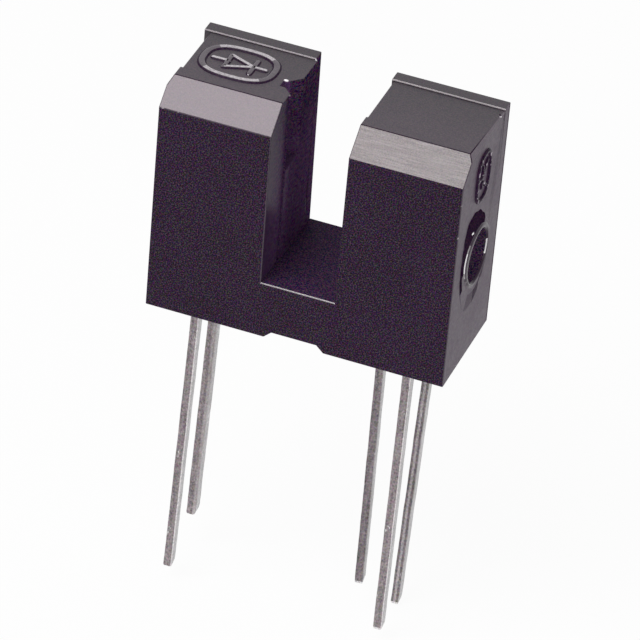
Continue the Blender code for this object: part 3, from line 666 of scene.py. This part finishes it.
def cavity_cutter(side):
    """The space for one package, flared at its mouth."""
    def ring(z, flare, corner=0.15):
        x0, x1 = CAVITY_INNER - flare, CAVITY_OUTER + flare
        y = CAVITY_Y + flare
        points = []
        for cx, cy, start in ((x1, y, 0), (x0, y, 90), (x0, -y, 180), (x1, -y, 270)):
            mx = cx - math.copysign(corner, cx - (x0 + x1) / 2)
            my = cy - math.copysign(corner, cy)
            for k in range(4):
                turn = math.radians(start + 30 * k)
                points.append((side * (mx + corner * math.cos(turn)), my + corner * math.sin(turn), z))
        return points
    levels = ((-1.0, 0.12), (0.0, 0.12), (0.04, 0.115), (0.20, 0.0), (CAVITY_TOP, 0.0))
    return loft([ring(z, flare) for z, flare in levels], "cavity")


def aperture_cutter(side, bottom, top):
    """The light opening seen from above: a flared mouth in the slot wall and a narrow straight throat."""
    wide, narrow, ahead = 0.60, 0.25, 0.60
    flare_depth, throat_depth, throat = 0.32, 0.56, 0.23
    slope = (wide - narrow) / flare_depth
    half = [
        (TOP_HALF - ahead, wide + slope * ahead), (TOP_HALF + flare_depth, narrow),
        (TOP_HALF + throat_depth, throat),
    ]
    outline = [(x, -y) for x, y in half] + half[::-1]
    return loft([[(side * x, OPTICAL_Y + y, z) for x, y in outline] for z in (bottom, top)], "aperture")


CHAMFER_NORMAL = Vector((0, -0.674, 0.739))
# Spots with a painted glint, two of them in dents: (place, radius)
PAINTED_GLINTS = [
    ((-2.03, 0.075, ARM_TOP - 0.03), 0.10), ((-1.52, LIP_Y, LIP_TOP - 0.03), 0.07),
    ((6.05, 1.50, ARM_TOP - 0.03), 0.07),
]


def stake_finish_and_painted_light(c):
    """The finish of the raised plastic and the pit, with their painted light, glints and shade, or None
    beyond them.
    """
    reach = math.hypot(c.y - STAKE_Y, c.z - STAKE_Z)
    turn = math.degrees(math.atan2(c.z - STAKE_Z, STAKE_Y - c.y)) % 360
    rise = abs(c.x) - HALF_WIDTH
    rim, foot = reach_at(RIM_REACH, turn), reach_at(FOOT_REACH, turn)
    if reach > foot or abs(rise) < 0.0005:
        return None
    if reach < HOLE + 0.001:
        return "pit"
    share = (reach - HOLE) / (rim - HOLE)
    if share < 1.0:
        # On the rim: painted glints on its outer front and inner back, and a painted highlight along the
        # outer front
        if (0.86 < share and 3 < turn < 34) or (share < 0.19 and 175 < turn < 206):
            return "glint"
        return "edge" if share > 0.86 and (turn < 46 or turn > 350) else "stake"
    # On the skirt: one painted glint in its upper front, painted shade over the front and top, and a
    # painted dim arc below the pit
    low = (reach - rim) / (foot - rim)
    ahead, above = c.y + 0.808, c.z - 6.026
    if low > 0.12 and (ahead / 0.19) ** 2 + ((22 * above + 9.4 * ahead) / 1.15) ** 2 < 1:
        return "glint"
    if turn < 112 or (turn > 332 and low > 0.55):
        return "stake_dark"
    if 185 < turn < 298 and low > min(0.32, max(0.0, (turn - 240) * 0.02)):
        return "stake_dim" if turn < 274 else "stake_faint"
    return "side"


def edge_painted_light(c, n):
    """The painted highlight or shade of a rounded edge that differs from the faces beside it, or None."""
    in_front = abs(c.y - FRONT_Y) < 0.06
    # Painted shade behind the chamfers and along the right arm's bevel, where it turns lighter towards the
    # back
    if c.z > ARM_TOP - 0.04 and abs(c.y - FRONT_Y - CHAMFER_RUN) < 0.05 and -0.66 < n.y < -0.02:
        return "edge_dark"
    if c.x > 5.7 and c.z > 8.9 and c.y < LIP_Y and 0.10 < n.x < 0.60 and (n.z > 0.75 or n.y < -0.3):
        return "edge_dark" if n.y < -0.3 else "edge_facet"
    # Painted highlight on the front of the slot's floor and the top of the lip
    if abs(c.y - FRONT_Y) < 0.07 and abs(c.z - SLOT_FLOOR) < 0.07 and abs(c.x) < 1.52 and n.z > 0.15:
        return "edge"
    if abs(c.y - LIP_Y) < 0.08 and c.z > ARM_TOP + 0.005 and 0.15 < n.z < 0.98:
        return "edge_lip"
    # Painted highlights on the upright front edges of the slot's left wall and right side, and under the
    # left chamfer
    if in_front and abs(c.x + FLOOR_HALF) < 0.10 and n.y > -0.98 and n.x > 0.1:
        return "edge_soft"
    if in_front and abs(c.x - HALF_WIDTH) < 0.06 and n.y > -0.98 and n.x > 0.1:
        return "edge_glint_spots"
    if in_front and abs(c.z - ARM_TOP + CHAMFER_DROP) < 0.06 and c.x < 0 and n.z > 0.1:
        return "edge_glint_spots"
    return None


def slot_finish_and_painted_light(c, n):
    """The finish inside the slot, whose left wall and floor show and are lighter than the rest; the wall
    and its step are painted light.
    """
    if n.x < -0.5:
        return "matte"
    if n.y < -0.15 and abs(c.y - PARTING_Y) < 0.08 and n.z < 0.5:
        return "slot_step"
    return "slot_floor" if n.z > 0.5 else "slot"


def finish_and_painted_light_name(face):
    """Which finish a face of the housing gets from its place and direction, painted light and shade
    included.
    """
    c, n = face.calc_center_median(), face.normal
    if n.dot(CHAMFER_NORMAL) > 0.985 and c.z > 8.9:
        return "chamfer_left" if c.x < 0 else "chamfer_right"
    name = edge_painted_light(c, n)
    if name:
        return name
    # Painted glints at the listed spots
    if any((c - Vector(place)).length < radius for place, radius in PAINTED_GLINTS):
        return "glint"
    if abs(c.x) > 5.3 and (c.y < 0.6 or math.hypot(c.y - STAKE_Y, c.z - STAKE_Z) < 1.6):
        name = stake_finish_and_painted_light(c)
        if name:
            return name
    # The right arm's bevel facet, painted lighter as a highlight
    if n.z > 0.3 and abs(n.x) > 0.3 and c.z > 9.0 and c.x > 5.5:
        return "facet"
    if n.z > 0.35 and c.z > 9.0:
        return "top"
    if n.y < -0.5 and c.y > LIP_Y - 0.1 and c.z > 2.0:
        return "top"
    if abs(n.x) > 0.35 and abs(c.x) > 5.9:
        return "band" if 0.6 < c.y < LIP_Y and c.z > 4.4 and abs(n.x) < 0.99999 else "side"
    if abs(c.x) < 1.62 and c.z > SLOT_FLOOR - 0.02 and c.y > FRONT_Y + 0.05 and n.y < 0.9:
        return slot_finish_and_painted_light(c, n)
    # Inside the cavities and openings, painted lighter against their shade
    if 1.62 < abs(c.x) < 5.6 and abs(c.y) < 2.1 and 0.02 < c.z < 9.9:
        return "inner"
    return "matte"


def make_housing():
    steps = []
    for side in (EMITTER, DETECTOR):
        steps += [
            ("DIFFERENCE", band_cutter(side)), ("UNION", stake_rim(side)),
            ("DIFFERENCE", cavity_cutter(side)), ("UNION", stake_bump(side)),
            ("DIFFERENCE", stake_pit(side)),
        ]
    steps += [("DIFFERENCE", cutter) for cutter in (
        aperture_cutter(EMITTER, APERTURE_BOTTOM, APERTURE_OPEN),
        aperture_cutter(DETECTOR, APERTURE_BOTTOM, APERTURE_TOP),
        dent(-2.03, 0.075, 0.06, 0.05, 1.7),
        dent(6.03, 1.53, 0.09, 0.06),
    )]
    bm = baked(rounded_shell(), steps)
    bm.normal_update()
    for face in bm.faces:
        face.material_index = FINISH_AND_PAINTED_LIGHT_ORDER.index(finish_and_painted_light_name(face))
    piece(bm, "housing_shell", list(FINISHES_AND_PAINTED_LIGHT.values()), ["housing"])


# Raised marks, plain and generic

def stroke(points, width, height, place, closed=False):
    """A rounded raised line through 2-D points. place(u, v, h) gives its 3-D point."""
    flat = [Vector(p) for p in points]
    count = len(flat)
    half = [(1.0, -0.6), (1.0, 0.0), (0.80, 0.42), (0.62, 0.84), (0.46, 0.97)]
    profile = [(-s, h) for s, h in half] + half[::-1]

    def ring(centre, across, size):
        return [place(*(centre + across * (s * width / 2 * size)), h * height * (size if h > 0 else 1))
                for s, h in profile]

    # The ends are rounded off in steps
    caps = [math.radians(a) for a in (35, 60, 80)]
    rings = []
    for k, here in enumerate(flat):
        before = flat[(k - 1) % count] if closed or k else here
        after = flat[(k + 1) % count] if closed or k + 1 < count else here
        along = (after - before).normalized()
        across = Vector((-along.y, along.x))
        if not closed and k == 0:
            for turn in caps[::-1]:
                rings.append(ring(here - along * width / 2 * math.sin(turn), across, math.cos(turn)))
        rings.append(ring(here, across, 1.0))
        if not closed and k == count - 1:
            for turn in caps:
                rings.append(ring(here + along * width / 2 * math.sin(turn), across, math.cos(turn)))
    bm = bmesh.new()
    made = [[bm.verts.new(p) for p in r] for r in rings]
    pairs = list(zip(made, made[1:])) + ([(made[-1], made[0])] if closed else [])
    for near, far in pairs:
        along = far[0].co - near[0].co
        bent = abs(along.x) < 0.80 * along.length
        for k in range(len(profile)):
            following = (k + 1) % len(profile)
            face = bm.faces.new([near[k], near[following], far[following], far[k]])
            # The crest gets a painted highlight along X, its shoulders and the bent runs a weaker one, and
            # the flanks none
            face.material_index = 1 if k == 4 and not bent else 2 if 3 <= k <= 5 else 0
    if not closed:
        bm.faces.new(made[0])
        bm.faces.new(made[-1])
    bmesh.ops.recalc_face_normals(bm, faces=bm.faces)
    return bm


def joined(parts):
    """One bmesh with the faces of all the given ones."""
    whole = bmesh.new()
    for bm in parts:
        mesh = bpy.data.meshes.new("part")
        bm.to_mesh(mesh)
        bm.free()
        whole.from_mesh(mesh)
        bpy.data.meshes.remove(mesh)
    return whole


def line(*points, step=0.12):
    """Points along a polyline."""
    out = []
    for (x0, y0), (x1, y1) in zip(points, points[1:]):
        count = max(1, round(math.hypot(x1 - x0, y1 - y0) / step))
        out += [(x0 + (x1 - x0) * k / count, y0 + (y1 - y0) * k / count) for k in range(count)]
    return out + [points[-1]]


def oval(across, up, half_across, half_up, count=56):
    """A rounded outline between an ellipse and a rectangle."""
    out = []
    for k in range(count):
        turn = 2 * math.pi * k / count
        c, s = math.cos(turn), math.sin(turn)
        out.append((across + half_across * math.copysign(abs(c) ** 0.75, c),
                    up + half_up * math.copysign(abs(s) ** 0.75, s)))
    return out


def make_marks():
    """Plain electrical signs inside an oval: a light source on one arm, a light receiver on the other."""
    def on_top(u, v, h):
        return (u, v, ARM_TOP + h)

    def on_side(u, v, h):
        return (HALF_WIDTH + h, u, v)

    strokes = [
        line((-5.06, 0.30), (-4.48, 0.30)), line((-4.48, -0.12), (-4.48, 0.72)),
        line((-4.48, 0.74), (-3.52, 0.34)), line((-3.52, 0.26), (-4.48, -0.14)),
        line((-3.44, -0.16), (-3.44, 0.76)), line((-3.44, 0.30), (-2.98, 0.30)),
    ]
    parts = [stroke(s, 0.27, 0.060, on_top) for s in strokes]
    parts.append(stroke(oval(-4.02, 0.30, 1.42, 1.02), 0.36, 0.064, on_top, closed=True))
    materials = [mark_flank, mark_top, mark_bend]
    piece(joined(parts), "emitter_symbol", materials, weighted=False)
    strokes = [
        line((-0.28, 7.80), (-0.28, 8.70)), line((-0.62, 8.25), (-0.28, 8.25)),
        line((-0.28, 8.40), (0.18, 8.82)), line((-0.28, 8.10), (0.18, 7.68)),
    ]
    parts = [stroke(s, 0.19, 0.070, on_side) for s in strokes]
    parts.append(stroke(oval(-0.14, 8.22, 0.68, 1.02), 0.20, 0.075, on_side, closed=True))
    materials = [side_mark_flank, side_mark_top, side_mark_top]
    piece(joined(parts), "detector_symbol", materials, weighted=False)


# Leads

# The leads' middle in each arm, their pitch, half their width, and where shanks and heads begin
LEAD_X, LEAD_PITCH, LEAD_HALF = 4.4, 1.27, 0.25
SHOULDER, BEND_TOP = 0.12, 3.4
# name: (side, row place, shift towards -X at the board, length below it, lean,
#        (head's bottom, top, low edge, high edge),
#        tip slant, twist in degrees, thickness, corner radius, height of the cut rim with its painted
#        highlight,
#        materials for front, flank, corner, tip and middle line)
LEADS = {
    "emitter_cathode_lead": (
        EMITTER, -LEAD_PITCH, -0.018, 12.94, 0.033, (7.05, 7.95, -1.495, 0.28), 0.03, 4, 0.335, 0.045, 0.04,
        (sheared_tin, rolled_tin, corner_tin, cut_tin, sheared_tin)),
    "emitter_anode_lead": (
        EMITTER, LEAD_PITCH, 0.08, 12.10, 0.033, (7.20, 7.80, 0.745, 1.495), 0.06, -2, 0.36, 0.11, 0.0,
        (sheared_tin, rolled_tin, corner_dull, sheared_tin, sheared_tin)),
    "detector_supply_lead": (
        DETECTOR, -LEAD_PITCH, 0.06, 13.01, 0.0143, (7.20, 7.80, -1.615, -1.045), 0.02, 2.5, 0.345, 0.035,
        0.11, (sheared_tin, rolled_tin, corner_tin, cut_tin, sheared_tin)),
    "detector_ground_lead": (
        DETECTOR, 0.0, 1.585, 12.05, 0.0012, (6.75, 8.25, -0.92, 0.58), 0.03, 6, 0.33, 0.022, 0.10,
        (sheared_dark, rolled_tin, rolled_tin, cut_tin, sheared_dark)),
    "detector_output_lead": (
        DETECTOR, LEAD_PITCH, -0.017, 13.55, 0.0318, (7.20, 7.80, 1.045, 1.615), 0.02, 3, 0.318, 0.022,
        0.12, (sheared_dark, rolled_tin, rolled_tin, cut_tin, sheared_light)),
}


def lead_rows(name):
    """(x, z, low y, high y) from the tip to the head."""
    side, y, shift, length, lean, (bottom, top, low, high) = LEADS[name][:6]
    edges = (y - LEAD_HALF, y + LEAD_HALF)
    x = side * LEAD_X - shift
    rows = [(x - lean * length, -length, *edges), (x, 0.0, *edges)]
    if name == "detector_ground_lead":
        rows.append((x, BEND_TOP - shift, *edges))
    x = side * LEAD_X
    rows += [(x, BEND_TOP, *edges), (x, bottom - SHOULDER, *edges)]
    return rows + [(x, bottom, low, high), (x, top, low, high)]


def subdivided(rows, step=0.16):
    """More rows between the given ones below the package, so that the strip can be slightly uneven."""
    out = []
    for one, two in zip(rows, rows[1:]):
        count = max(1, round((two[1] - one[1]) / step)) if two[1] <= 5.0 else 1
        out += [tuple(a + (b - a) * k / count for a, b in zip(one, two)) for k in range(count)]
    return out + [rows[-1]]


def section(half_x, low, high, corner):
    """A stamped strip's section. The corner between the front and the +X side has its own radius."""
    points = []
    corners = (
        (half_x, high, 0.030, 0), (-half_x, high, 0.025, 90),
        (-half_x, low, 0.030, 180), (half_x, low, corner, 270),
    )
    for x, y, radius, start in corners:
        cx = x - math.copysign(radius, x)
        cy = y - radius if y == high else y + radius
        for k in range(4):
            turn = math.radians(start + 30 * k)
            points.append((cx + radius * math.cos(turn), cy + radius * math.sin(turn)))
        if start == 180:
            # The edges of the narrow middle line on the front
            points += [(-0.055, low), (0.040, low)]
    return points


def looseness(z):
    """How freely the strip twists and wanders: 0 down to the board's plane, 1 from 2 mm below it."""
    return min(1.0, max(0.0, -z / 2.0))


def strip_rings(rows, seed, twist, thick, corner):
    """The strip's sections at all rows, slightly uneven."""
    rings = []
    for k, (x, z, low, high) in enumerate(rows):
        near, far = rows[max(k - 1, 0)], rows[min(k + 1, len(rows) - 1)]
        along = Vector((far[0] - near[0], far[1] - near[1])).normalized()
        across = Vector((along.y, -along.x))
        # Wider sections at the corners of a bend keep its thickness
        reach = 1.0 / max(0.7, abs(across.x)) if 0.0 < z < 5.0 else 1.0
        wander = noise.noise(seed + Vector((0, 0, z * 0.8))) * 0.008 * looseness(z)
        swell = noise.noise(seed + Vector((5, 0, z * 1.9))) * 0.005 if z < 4 else 0.0
        turn = twist * looseness(z)
        middle = (low + high) / 2
        ring = []
        for dx, y in section(thick / 2 + swell, low, high, corner):
            dy = y - middle
            dx, dy = dx * math.cos(turn) - dy * math.sin(turn), dx * math.sin(turn) + dy * math.cos(turn)
            lump = noise.noise(seed + Vector((dx * 6, dy * 6, z * 3.0))) * 0.005 if z < 4 else 0.0
            point = Vector((x, z)) + across * (dx * reach + wander)
            ring.append(Vector((point.x + math.copysign(lump, dx), middle + dy + wander + lump, point.y)))
        rings.append(ring)
    return rings


def tip_rings(first, slant):
    """The rounded and slanted cut end below the first section."""
    middle = sum(first, Vector()) / len(first)
    tips = []
    for inset, drop in ((0.70, 0.0), (0.86, 0.012), (0.95, 0.045), (1.0, 0.12)):
        ring = []
        for p in first:
            rise = drop + slant * (1 + (p.y - middle.y) / LEAD_HALF)
            ring.append(middle + Vector(((p.x - middle.x) * inset, (p.y - middle.y) * inset, rise)))
        tips.append(ring)
    return tips


def strip_finish(face, rows, slant, twist, cut_rim):
    """A face's material: 0 front and back, 1 flank, 2 corner, 3 tip, 4 middle line."""
    n, c = face.normal, face.calc_center_median()
    tip = rows[0][1]
    if c.z < tip + cut_rim + slant or (n.z < -0.5 and c.z < tip + 0.3):
        return 3
    turn = twist * looseness(c.z)
    across = Vector((math.cos(turn), math.sin(turn), 0))
    ahead = Vector((math.sin(turn), -math.cos(turn), 0))
    flat = math.sin(math.radians(12))
    if abs(n.dot(ahead)) < flat:
        return 1
    if n.dot(ahead) > 0 and n.dot(across) > flat:
        return 2
    here = min(rows, key=lambda row: abs(row[1] - c.z))
    offset = (c - Vector((here[0], (here[2] + here[3]) / 2, c.z))).dot(across)
    return 4 if n.dot(ahead) > 0 and -0.06 < offset < 0.045 else 0


def make_lead(name):
    slant, twist, thick, corner, cut_rim, materials = LEADS[name][6:]
    twist = math.radians(twist)
    rows = subdivided(lead_rows(name))
    seed = Vector((sum(map(ord, name)) % 97, 3.1, 7.7))
    rings = strip_rings(rows, seed, twist, thick, corner)
    clear = rows[0][1] + 0.14 + 2 * abs(slant)
    above_tip = [ring for ring in rings if min(p.z for p in ring) > clear]
    bm = baked(loft(tip_rings(rings[0], slant) + above_tip, name))
    bm.normal_update()
    for face in bm.faces:
        face.material_index = strip_finish(face, rows, slant, twist, cut_rim)
    piece(bm, name + "_strip", list(materials), [name], sharp=50.0)


# Inner parts that keep their CAD shape

def resin_material():
    n = Nodes("package_resin")
    cloud = n.noise(0.5, 3.0, 0.5)
    colour = n.ramp(cloud, [(0.3, (0.012, 0.004, 0.010)), (0.7, (0.026, 0.009, 0.020))])
    fine = n.noise(5.0, 3.0, 0.6)
    return n.use(Base_Color=colour, Roughness=n.spread(fine, 0.10, 0.22), Normal=n.bump(fine, 0.002))


def chip_material():
    n = Nodes("chip_surface")
    grid = n.noise(6.0, 1.0, 0.4)
    colour = n.ramp(grid, [(0.40, (0.10, 0.10, 0.15)), (0.60, (0.20, 0.20, 0.27))])
    return n.use(Base_Color=colour, Metallic=0.4, Roughness=n.spread(grid, 0.15, 0.30))


def gold_material():
    n = Nodes("bond_wire_gold")
    drawn = n.noise(12.0, 2.0, 0.5, (1, 0.2, 1))
    colour = n.ramp(drawn, [(0.35, (0.74, 0.50, 0.18)), (0.65, (0.90, 0.68, 0.30))])
    return n.use(Base_Color=colour, Metallic=1.0, Roughness=n.spread(drawn, 0.18, 0.32))


def dress_nodes():
    finishes = {"resin": resin_material(), "die": chip_material(), "wire": gold_material()}
    for name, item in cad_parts.items():
        kind = name.rsplit("_", 1)[-1]
        if kind in finishes:
            item.data.materials.clear()
            item.data.materials.append(finishes[kind])


# Stage, light and camera

def seen_share(tree):
    """1 for camera, mirror and see-through rays, which find plain white, and 0 for all others."""
    path = tree.nodes.new("ShaderNodeLightPath")
    seen = path.outputs["Is Camera Ray"]
    for name in ("Is Glossy Ray", "Is Transmission Ray"):
        both = tree.nodes.new("ShaderNodeMath")
        both.operation = "MAXIMUM"
        tree.links.new(seen, both.inputs[0])
        tree.links.new(path.outputs[name], both.inputs[1])
        seen = both.outputs[0]
    return seen


def make_floor():
    """A pale floor just under the longest lead, which the camera sees as nearly plain white."""
    bm = bmesh.new()
    bmesh.ops.create_grid(bm, x_segments=1, y_segments=1, size=0.6)
    floor = new_object(bm, "floor")
    floor.location = (0, 0, -13.66 * MM)
    made = bpy.data.materials.new("floor_pale")
    made.use_nodes = True
    tree = made.node_tree
    tree.nodes.clear()
    out = tree.nodes.new("ShaderNodeOutputMaterial")
    lit = tree.nodes.new("ShaderNodeBsdfDiffuse")
    lit.inputs["Color"].default_value = (0.80, 0.80, 0.80, 1)
    bright = tree.nodes.new("ShaderNodeEmission")
    seen = seen_share(tree)
    share = tree.nodes.new("ShaderNodeMath")
    share.operation = "MULTIPLY"
    share.inputs[1].default_value = 0.94
    tree.links.new(seen, share.inputs[0])
    mix = tree.nodes.new("ShaderNodeMixShader")
    tree.links.new(share.outputs[0], mix.inputs["Fac"])
    tree.links.new(lit.outputs[0], mix.inputs[1])
    tree.links.new(bright.outputs[0], mix.inputs[2])
    tree.links.new(mix.outputs[0], out.inputs["Surface"])
    floor.data.materials.append(made)


def make_world():
    """Plain white surroundings that light the part less than they show."""
    world = bpy.data.worlds.new("studio")
    bpy.context.scene.world = world
    world.use_nodes = True
    tree = world.node_tree
    back = tree.nodes["Background"]
    seen = seen_share(tree)
    strength = tree.nodes.new("ShaderNodeMapRange")
    strength.inputs["To Min"].default_value = 0.42
    tree.links.new(seen, strength.inputs["Value"])
    back.inputs["Color"].default_value = (1, 1, 1, 1)
    tree.links.new(strength.outputs["Result"], back.inputs["Strength"])


def lamp(name, direction, distance_mm, size_mm, radiance):
    """A round soft light whose brightness is given as radiance."""
    light = bpy.data.lights.new(name, "AREA")
    light.shape = "DISK"
    light.size = size_mm * MM
    area = math.pi * (size_mm * MM / 2) ** 2
    light.energy = radiance * math.pi * area
    made = bpy.data.objects.new(name, light)
    towards = Vector(direction).normalized()
    made.location = towards * distance_mm * MM + Vector((0, 0, 3 * MM))
    made.rotation_euler = towards.to_track_quat("Z", "Y").to_euler()
    bpy.context.scene.collection.objects.link(made)


def make_camera():
    """The photo's camera, as fitted to the housing's corners and the leads' ends."""
    azimuth, elevation, roll = (math.radians(v) for v in (18.127, 34.632, 5.134))
    focal_pixels, picture_pixels = 5572.1, 640
    flat = math.cos(elevation)
    back = Vector((math.sin(azimuth) * flat, -math.cos(azimuth) * flat, math.sin(elevation)))
    level = Vector((math.cos(azimuth), math.sin(azimuth), 0))
    raised = back.cross(level)
    right = level * math.cos(roll) + raised * math.sin(roll)
    up = back.cross(right)
    data = bpy.data.cameras.new("photo_camera")
    data.sensor_width = 36.0
    data.lens = focal_pixels / picture_pixels * data.sensor_width
    data.clip_start, data.clip_end = 0.02, 5.0
    made = bpy.data.objects.new("photo_camera", data)
    bpy.context.scene.collection.objects.link(made)
    turn = Matrix((right, up, back)).transposed()
    made.matrix_world = Matrix.Translation(Vector((55.138, -167.895, 121.698)) * MM) @ turn.to_4x4()
    bpy.context.scene.camera = made


make_housing()
make_marks()
for lead in LEADS:
    make_lead(lead)
dress_nodes()
make_floor()
make_world()
lamp("key", (-0.256, -0.494, 0.832), 260, 190, 6.0)
lamp("side", (0.83, -0.50, 0.22), 220, 80, 5.0)
make_camera()
bpy.context.scene.view_settings.view_transform = "Standard"
